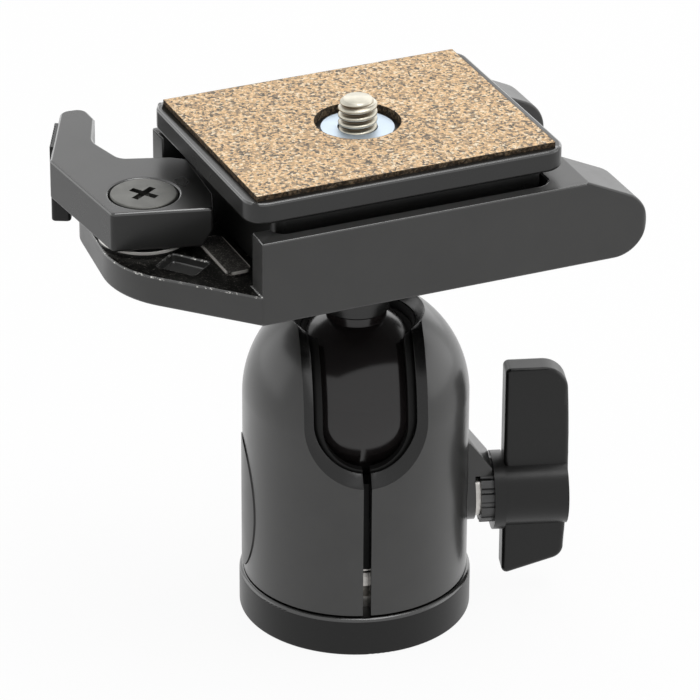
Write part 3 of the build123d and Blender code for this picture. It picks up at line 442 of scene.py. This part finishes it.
# ---- platform --------------------------------------------------------------
# A die casting, tumbled and coated satin black. Dust lies on its deck, whose ground
# is painted darker as shade under the lever and the plate, and the lever has rubbed
# the deck's rim bright in spots.
dust_grey = (0.42, 0.40, 0.36, 1)
deck_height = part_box("pawl_plate")[0].z
casting_black = black_finish(
    "casting_satin_black", grey=0.033, gloss=0.34, grain_size=0.16 * MM, grain_depth=0.006 * MM
)
worn_edge = black_finish(
    "casting_worn_edge",
    grey=0.024,
    gloss=0.26,
    grain_size=0.16 * MM,
    grain_depth=0.004 * MM,
    ior_level=0.7,
    coat=0.5,
)
rim_height = worn_edge.height()
rim_bottom = deck_height - 0.6 * MM
rim_top = deck_height + 0.1 * MM
near_deck = (rim_height > rim_bottom) * (rim_height < rim_top)
rim_spots = worn_edge.grain(0.9 * MM, detail=5, roughness=0.75)
rubbed = worn_edge.between(rim_spots, 0.54, 0.62) * near_deck
rim_coating = (0.032, 0.032, 0.031, 1)
rim_metal = (0.70, 0.69, 0.66, 1)
worn_edge.sets(base_color=worn_edge.blend(rubbed, rim_coating, rim_metal), metallic=rubbed)

# The deck's ground is painted darker than the casting, a painted shade under the lever and the
# plate; the pale specks on it are dust.
height_of = casting_black.height()
normal = casting_black.node("TexCoord", {}, {}, "Normal")
facing_up = casting_black.node("SeparateXYZ", {}, {"Vector": normal}, "Z") > 0.5
deck_bottom = deck_height - 0.05 * MM
deck_top = deck_height + 0.05 * MM
on_deck = (height_of > deck_bottom) * (height_of < deck_top) * facing_up
speck_grain = casting_black.grain(0.30 * MM, detail=4, roughness=0.8)
specks = casting_black.between(speck_grain, 0.58, 0.68)
deck_shade_and_dust = casting_black.blend(specks * 0.5, (0.010, 0.010, 0.009, 1), dust_grey)
casting_black.sets(
    base_color=casting_black.blend(on_deck, casting_black.colour(), deck_shade_and_dust),
    metallic=on_deck * (1 - specks),
)
casting = eased(
    "platform_casting", "platform", width=0.3 * MM, finishes=[casting_black, worn_edge]
)
for face in casting.data.polygons:
    upright = abs(face.normal.z) < 0.15
    if upright:
        face.material_index = 0

# ---- wear strip and pivot washer ---------------------------------------------
# A blackened steel strip lies on the deck beside the jaw. The lever turns on a
# steel washer and a brass bush, against a coiled spring. The strip and the washer
# are rubbed bright along their upper edges.
head_turn = math.radians(17.5)


def near_sides(finish, node, width):
    """How near a point is to the four upright sides of a piece on the turned platform."""
    back_turn = Matrix.Rotation(-head_turn, 3, "Z")
    corners = [back_turn @ corner.co for corner in nodes[node].data.vertices]
    turning_back = {"Vector": finish.place(), "Rotation": (0, 0, -head_turn)}
    place = finish.node("Mapping", {}, turning_back)
    shares = []
    for axis in (0, 1):
        low = min(corner[axis] for corner in corners)
        high = max(corner[axis] for corner in corners)
        along = finish.node("SeparateXYZ", {}, {"Vector": place}, axis)
        shares.append(finish.between(along, low, low + width, start=1.0, end=0.0))
        shares.append(finish.between(along, high - width, high))
    first = finish.math("MAXIMUM", shares[0], shares[1])
    return finish.math("MAXIMUM", first, finish.math("MAXIMUM", shares[2], shares[3]))


def off_axis(finish, node):
    """How far a point is from the upright axis of a round piece."""
    middle = sum(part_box(node), Vector()) / 2
    flat = finish.node("VectorMath", {"operation": "MULTIPLY"}, {0: finish.place(), 1: (1, 1, 0)})
    axis = (middle.x, middle.y, 0)
    return finish.node("VectorMath", {"operation": "DISTANCE"}, {0: flat, 1: axis}, "Value")


strip_steel = black_finish(
    "wear_strip_blackened", grey=0.010, gloss=0.38, grain_size=0.1 * MM, grain_depth=0.003 * MM
)
strip_rim = near_sides(strip_steel, "pawl_plate", 0.22 * MM)
strip_grain = strip_steel.grain(0.30 * MM, detail=4, roughness=0.8)
strip_dust = strip_steel.between(strip_grain, 0.52, 0.64)
strip_top = strip_steel.blend(strip_dust * 0.6, (0.012, 0.011, 0.010, 1), dust_grey)
strip_rim = strip_rim * (strip_steel.height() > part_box("pawl_plate")[1].z - 0.45 * MM)
strip_colour = strip_steel.blend(strip_rim, strip_top, (0.84, 0.81, 0.76, 1))
strip_steel.sets(base_color=strip_colour, metallic=strip_rim * 0.3)
wears(["pawl_plate"], strip_steel)

washer_steel = black_finish(
    "pivot_washer_steel", grey=0.012, gloss=0.30, grain_size=0.05 * MM, grain_depth=0.002 * MM
)
washer_low, washer_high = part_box("pivot_washer")
washer_radius = (washer_high.x - washer_low.x) / 2
washer_rim = off_axis(washer_steel, "pivot_washer") > washer_radius - 0.25 * MM
washer_rim = washer_rim * (washer_steel.height() > washer_high.z - 0.4 * MM)
washer_colour = washer_steel.blend(washer_rim, (0.012, 0.012, 0.011, 1), (0.84, 0.82, 0.78, 1))
washer_steel.sets(base_color=washer_colour, metallic=washer_rim * 0.3)
wears(["pivot_washer"], washer_steel)
wears(["torsion_spring"], turned_steel)
wears(["pivot_bush"], nut_brass)

# ---- trip pin and its spring -------------------------------------------------
# A steel pin that feels the plate, on a small coil of spring steel. Both stand in
# a blind hole of the platform, and the coil is given a mesh of its own.
wears(["trip_pin"], turned_steel)
coil = bmesh.new()
coil.from_mesh(nodes["trip_spring"].data)
trip_coil = placed("trip_coil", coil, "trip_spring", [turned_steel], smooth=60)
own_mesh(trip_coil)

# ---- lever -----------------------------------------------------------------
# The locking lever is cast and coated like the platform, and turns on a flat
# headed cross recess screw. A ribbed plastic pad is pressed on its finger.
lever_black = black_finish(
    "lever_satin_black",
    grey=0.020,
    gloss=0.30,
    grain_size=0.14 * MM,
    grain_depth=0.003 * MM,
    ior_level=0.38,
)
lever_edge = black_finish(
    "lever_rubbed_edge",
    grey=0.020,
    gloss=0.22,
    grain_size=0.14 * MM,
    grain_depth=0.002 * MM,
    ior_level=0.7,
    coat=0.5,
)
pad_plastic = black_finish(
    "pad_black_plastic",
    grey=0.006,
    gloss=0.4,
    grain_size=0.15 * MM,
    grain_depth=0.004 * MM,
    ior_level=0.3,
)
screw_grey = metal_finish(
    "pivot_screw_grey", colour=(0.125, 0.125, 0.117), gloss=0.45, lines=0.05 * MM
)
lever_piece = eased(
    "lever_casting",
    "lever",
    width=0.45 * MM,
    finishes=[lever_black, lever_edge],
    steps=4,
    split=False,
)
rubbed_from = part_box("lever")[1].z - 0.55 * MM
for face in lever_piece.data.polygons:
    leans_up = 0.12 < face.normal.z < 0.97
    face.material_index = int(leans_up and face.center.z > rubbed_from)
wears(["thumb_pad"], pad_plastic)
wears(["pivot_screw"], screw_grey)

# ---- quick-release plate -----------------------------------------------------
# A cast plate with a tray for the cork and a dovetailed foot, both coated black.
# Its edges are rubbed by use.
plate_black = black_finish(
    "plate_satin_black", grey=0.012, gloss=0.30, grain_size=0.15 * MM, grain_depth=0.004 * MM
)
plate_edge = black_finish(
    "plate_rubbed_edge",
    grey=0.020,
    gloss=0.26,
    grain_size=0.15 * MM,
    grain_depth=0.002 * MM,
    ior_level=0.8,
    coat=0.5,
)
eased("plate_casting", "qr_plate", width=0.4 * MM, finishes=[plate_black, plate_edge])
wears(["plate_foot"], plate_black)

# ---- cork pad ----------------------------------------------------------------
# Granules of cork, bonded with dark rubber, pressed to a sheet and punched. Its
# cut sides and the wall of its hole are darkened with painted shade.
granule_size = 0.42 * MM
wobble_size = 0.4 * MM
wobble_reach = 0.35 * MM
cork = Finish("bonded_cork", specular_ior_level=0.2)
wobble = cork.node(
    "TexNoise", {}, {"Vector": cork.place(), "Scale": 1 / wobble_size, "Detail": 2.0}, "Color"
)
pushed = {0: wobble, 1: (wobble_reach,) * 3, 2: cork.place()}
spot = cork.node("VectorMath", {"operation": "MULTIPLY_ADD"}, pushed)
granules = cork.node(
    "TexVoronoi", {"feature": "F1"}, {"Vector": spot, "Scale": 1 / granule_size}, "Color"
)
granule = cork.node("SeparateColor", {}, {0: granules})
granule_colour = cork.node(
    "ValToRGB",
    {
        "stops": [
            (0.0, (0.11, 0.10, 0.085)),
            (0.14, (0.22, 0.18, 0.14)),
            (0.30, (0.46, 0.33, 0.21)),
            (0.52, (0.72, 0.48, 0.27)),
            (0.80, (0.88, 0.62, 0.36)),
            (1.0, (0.92, 0.79, 0.60)),
        ]
    },
    {0: granule},
)
binder = cork.between(cork.grain(0.36 * MM, detail=4, roughness=0.65), 0.50, 0.62)
fleck = cork.blend(binder * 0.5, granule_colour, (0.17, 0.155, 0.135, 1))
hole_radius = min(corner.co.xy.length for corner in nodes["cork_pad"].data.vertices)
# The cork's cut sides and the wall of its hole are painted near black: painted shade.
hole_wall = off_axis(cork, "cork_pad") < hole_radius + 0.06 * MM
painted_shade_sides = cork.math("MAXIMUM", near_sides(cork, "cork_pad", 0.14 * MM), hole_wall)
patches = cork.grain(0.5 * MM, detail=3, roughness=0.6)
patchy = cork.between(patches, 0.35, 0.6, start=0.75, end=1.0)
fleck = cork.blend(painted_shade_sides * patchy, fleck, (0.03, 0.021, 0.014, 1))
cork_relief = cork.bumps(cork.grain(0.3 * MM, detail=3), depth=0.03 * MM)
cork_gloss = cork.between(granule, 0, 1, start=0.75, end=0.9)
cork.sets(base_color=fleck, roughness=cork_gloss, normal=cork_relief)
wears(["cork_pad"], cork)

# ---- camera screw and its washer ---------------------------------------------
# The camera screw is rolled with a 1/4 inch thread and chamfered at its tip. Its
# thin neck keeps it captive in a blue zinc washer, and its head has a slot for
# a coin.
zinc = metal_finish(
    "blue_zinc", colour=(0.56, 0.64, 0.72), gloss=0.5, lines=0.06 * MM, darker=0.93
)
wears(["screw_washer"], zinc)

thread_pitch = 1.27 * MM
thread_crest = 3.175 * MM
thread_root = 2.50 * MM
thread_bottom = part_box("cork_pad")[0].z
thread_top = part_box("camera_screw")[1].z
tip_radius = 2.3 * MM
tip_length = 0.7 * MM
soil_brown = (0.10, 0.075, 0.05, 1)
screw_steel = metal_finish(
    "rolled_steel", colour=(0.62, 0.59, 0.50), gloss=0.36, lines=0.05 * MM
)
from_axis = off_axis(screw_steel, "camera_screw")
soil_reach = thread_crest - 0.2 * MM
groove = screw_steel.between(from_axis, thread_root, soil_reach, start=1.0, end=0.0)
below_tip = screw_steel.height() < thread_top - tip_length
screw_steel.sets(
    base_color=screw_steel.blend(groove * below_tip, screw_steel.colour(), soil_brown)
)

# The plain screw is cut off under the cork, and the thread goes on from there as
# rows of faces that wind up. flanks is its profile over one turn, from root to crest.
flanks = (0, 0, 0.15, 0.60, 0.93, 1, 1, 0.93, 0.60, 0.15)
round_steps = 80
sunk = 0.1 * MM
turns = int((thread_top - thread_bottom) / thread_pitch) + 3
shape = bmesh.new()
shape.from_mesh(nodes["camera_screw"].data)
bmesh.ops.remove_doubles(shape, verts=shape.verts, dist=weld)
cut = bmesh.ops.bisect_plane(
    shape,
    geom=shape.verts[:] + shape.edges[:] + shape.faces[:],
    plane_co=(0, 0, thread_bottom),
    plane_no=(0, 0, 1),
    clear_outer=True,
)
rim_edges = [item for item in cut["geom_cut"] if isinstance(item, bmesh.types.BMEdge)]
bmesh.ops.holes_fill(shape, edges=rim_edges)


def thread_point(row, step):
    """A point of the thread's helical grid, kept between the neck and the tip."""
    share = step / round_steps
    height = thread_bottom + (row / len(flanks) - 1 + share) * thread_pitch
    height = min(max(height, thread_bottom - sunk), thread_top)
    radius = thread_root + (thread_crest - thread_root) * flanks[row % len(flanks)]
    radius = min(radius, tip_radius + thread_top - height)
    if height <= thread_bottom:
        radius = thread_root
    angle = share * math.tau
    return (radius * math.cos(angle), radius * math.sin(angle), height)


rows = (turns + 1) * len(flanks)
grid = [
    [shape.verts.new(thread_point(row, step)) for step in range(round_steps)]
    for row in range(rows)
]
for row in range(rows - 1):
    for step in range(round_steps):
        last = step == round_steps - 1
        next_row = row + len(flanks) if last else row
        if next_row + 1 < rows:
            beside = (step + 1) % round_steps
            lower = (grid[row][step], grid[next_row][beside])
            upper = (grid[next_row + 1][beside], grid[row + 1][step])
            shape.faces.new(lower + upper)
bmesh.ops.remove_doubles(shape, verts=shape.verts, dist=0.01 * MM)
open_rim = [edge for edge in shape.edges if len(edge.link_faces) == 1]
bmesh.ops.holes_fill(shape, edges=open_rim)
bmesh.ops.recalc_face_normals(shape, faces=shape.faces[:])
placed("camera_screw_threaded", shape, "camera_screw", [screw_steel], smooth=50)

# ---- studio ----------------------------------------------------------------
# A pale floor, a white surround and wide soft lamps, with the camera in front
# and above, a little to the left of the notch.
half = 2  # half of the floor's side
floor_mesh = bpy.data.meshes.new("floor")
floor_corners = [(-half, -half, 0), (half, -half, 0), (half, half, 0), (-half, half, 0)]
floor_mesh.from_pydata(floor_corners, [], [(0, 1, 2, 3)])
floor = bpy.data.objects.new("floor", floor_mesh)
bpy.context.scene.collection.objects.link(floor)
paper = Finish("floor_paper", base_color=(0.88, 0.88, 0.88, 1), roughness=0.9)
by_camera = paper.node("LightPath", {}, {}, "Is Camera Ray")
by_gloss = paper.node("LightPath", {}, {}, "Is Glossy Ray")
seen = paper.math("MAXIMUM", by_camera, by_gloss)
glow = paper.node("Emission", {}, {"Color": (1, 1, 1, 1), "Strength": 1.0})
lit = Tone(paper, paper.shader.outputs[0])
mixed = paper.node("MixShader", {}, {0: seen * 0.93, 1: lit, 2: glow})
paper.lead(mixed, paper.tree.nodes["Material Output"].inputs["Surface"])
floor_mesh.materials.append(paper.material)

world = bpy.data.worlds.new("studio")
bpy.context.scene.world = world
world.use_nodes = True
surround = world.node_tree
backdrop = surround.nodes["Background"]
backdrop.inputs["Color"].default_value = (1, 1, 1, 1)
rays = surround.nodes.new("ShaderNodeLightPath")
strength = surround.nodes.new("ShaderNodeMapRange")
seen_by = surround.nodes.new("ShaderNodeMath")
seen_by.operation = "MAXIMUM"
surround.links.new(rays.outputs["Is Camera Ray"], seen_by.inputs[0])
surround.links.new(rays.outputs["Is Glossy Ray"], seen_by.inputs[1])
surround.links.new(seen_by.outputs[0], strength.inputs["Value"])
strength.inputs["To Min"].default_value = 0.42
strength.inputs["To Max"].default_value = 1.0
surround.links.new(strength.outputs[0], backdrop.inputs["Strength"])

lamps_aim = Vector((0, 0, 0.05))
for name, place, size, power in (
    ("lamp_key", (0.12, -0.08, 0.90), 0.5, 3.7),
    ("lamp_left", (-1.2, 0.5, 0.12), 1.3, 4.5),
    ("lamp_right", (1.0, 0.15, 0.18), 1.0, 3.5),
    ("lamp_back", (0.2, 1.1, 0.50), 1.5, 6.5),
):
    lamp = bpy.data.lights.new(name, "AREA")
    lamp.shape = "SQUARE"
    lamp.size = size
    lamp.energy = power
    holder = bpy.data.objects.new(name, lamp)
    holder.location = place
    facing = lamps_aim - Vector(place)
    holder.rotation_euler = facing.to_track_quat("-Z", "Y").to_euler()
    bpy.context.scene.collection.objects.link(holder)

turn_left = math.radians(-6.3)
look_down = math.radians(27.6)
tilt = math.radians(0.35)
distance = 0.8
aim_right = -1.0 * MM
aim_height = 46.93 * MM
lens_px = 4862  # focal length in the frame's pixels
frame_px = 700
sensor = 36
level = Vector((math.cos(turn_left), math.sin(turn_left), 0))
back = Vector(
    (
        math.sin(turn_left) * math.cos(look_down),
        -math.cos(turn_left) * math.cos(look_down),
        math.sin(look_down),
    )
)
upright = back.cross(level)
aim = level * aim_right + Vector((0, 0, aim_height))
across = level * math.cos(tilt) + upright * math.sin(tilt)
upward = upright * math.cos(tilt) - level * math.sin(tilt)
turned = Matrix((across, upward, back)).transposed().to_4x4()
camera_data = bpy.data.cameras.new("camera")
camera_data.sensor_width = sensor
camera_data.lens = sensor * lens_px / frame_px
camera_data.clip_start = 0.05
camera_data.clip_end = 20
camera = bpy.data.objects.new("camera", camera_data)
camera.matrix_world = Matrix.Translation(aim + back * distance) @ turned
bpy.context.scene.collection.objects.link(camera)
bpy.context.scene.camera = camera
bpy.context.scene.view_settings.view_transform = "Standard"
